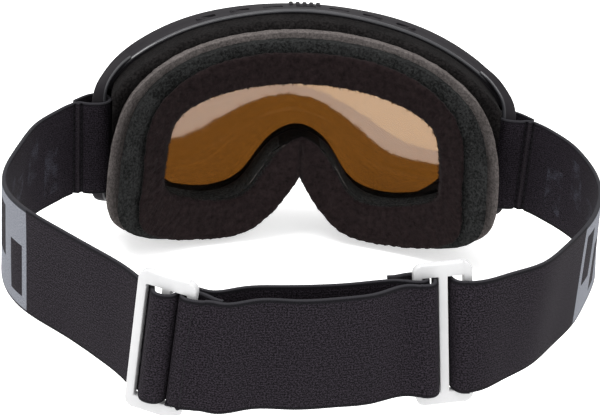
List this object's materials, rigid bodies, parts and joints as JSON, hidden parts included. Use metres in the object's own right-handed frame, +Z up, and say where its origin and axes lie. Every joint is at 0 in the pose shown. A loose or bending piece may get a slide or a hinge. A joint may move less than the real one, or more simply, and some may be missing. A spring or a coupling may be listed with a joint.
{
  "type": "ski goggles",
  "caption": "Ski goggles: wrapped frame, double amber lens, layered face foam with fleece, and an elastic strap with two white sliding buckles.",
  "frame": {"origin": "on the resting surface, under the middle of the goggles and their strap loop, in the frame's middle plane", "axes": "+X to the wearer's left, +Y from the lens towards the back of the head, +Z up"},
  "size_m": [0.2231, 0.2096, 0.0961],
  "materials": {
    "frame_tpu": "satin black flexible moulding",
    "outer_lens_amber": "amber polycarbonate with a mirror-like gloss",
    "inner_lens_clear": "clear cellulose, gloss",
    "gasket_foam": "closed-cell foam, matt",
    "vent_foam": "open-cell foam, matt",
    "foam_black": "fine-celled foam, matt",
    "foam_grey_brown": "fine-celled foam, matt",
    "foam_grey_green": "fine-celled foam, matt",
    "fleece": "brushed fleece",
    "strap_knit": "fine knitted elastic webbing",
    "thread": "spun polyester",
    "slider_white": "semi-matt moulded acetal"
  },
  "bodies": {
    "goggles": {"frame": "frame_tpu", "outer_lens": "outer_lens_amber", "inner_lens": "inner_lens_clear", "lens_spacer_gasket": "gasket_foam", "top_vent_foam": "vent_foam", "left_vent_foam": "vent_foam", "right_vent_foam": "vent_foam", "foam_base": "foam_black", "foam_middle": "foam_grey_brown", "foam_face": "foam_grey_green", "face_fleece": "fleece", "left_strap_frame_loop": "strap_knit", "right_strap_frame_loop": "strap_knit", "left_loop_stitching": "thread", "right_loop_stitching": "thread"},
    "strap_front": {"left_strap_side": "strap_knit", "right_strap_side": "strap_knit"},
    "strap_back": {"left_strap_rear": "strap_knit", "right_strap_rear": "strap_knit"},
    "left_slider_body": {"left_slider": "slider_white", "left_strap_weave": "strap_knit", "right_strap_sewn_end": "strap_knit", "right_end_stitching": "thread", "right_strap_outer_layer": "strap_knit"},
    "right_slider_body": {"right_slider": "slider_white", "right_strap_weave": "strap_knit", "left_strap_sewn_end": "strap_knit", "left_end_stitching": "thread", "left_strap_inner_layer": "strap_knit"}
  },
  "joints": [
    {"name": "strap_tilt", "type": "hinge", "parent": "goggles", "child": "strap_front", "pos_m": [0, -0.0587, 0.0445], "axis": [1, 0, 0], "range_deg": [-25, 25]},
    {"name": "strap_stretch", "type": "slide", "parent": "strap_front", "child": "strap_back", "axis": [0, 1, 0], "range_m": [0, 0.05]},
    {"name": "left_slider_adjust", "type": "slide", "parent": "strap_back", "child": "left_slider_body", "axis": [-0.7071, 0.7071, 0], "range_m": [0, 0.026], "deforming": ["right_strap_outer_layer", "left_strap_inner_layer"]},
    {"name": "right_slider_adjust", "type": "slide", "parent": "strap_back", "child": "right_slider_body", "axis": [0.7071, 0.7071, 0], "range_m": [0, 0.026], "deforming": ["right_strap_outer_layer", "left_strap_inner_layer"]}
  ],
  "couplings": [
    {"joint": "right_slider_adjust", "follows": "left_slider_adjust", "ratio": 1}
  ]
}
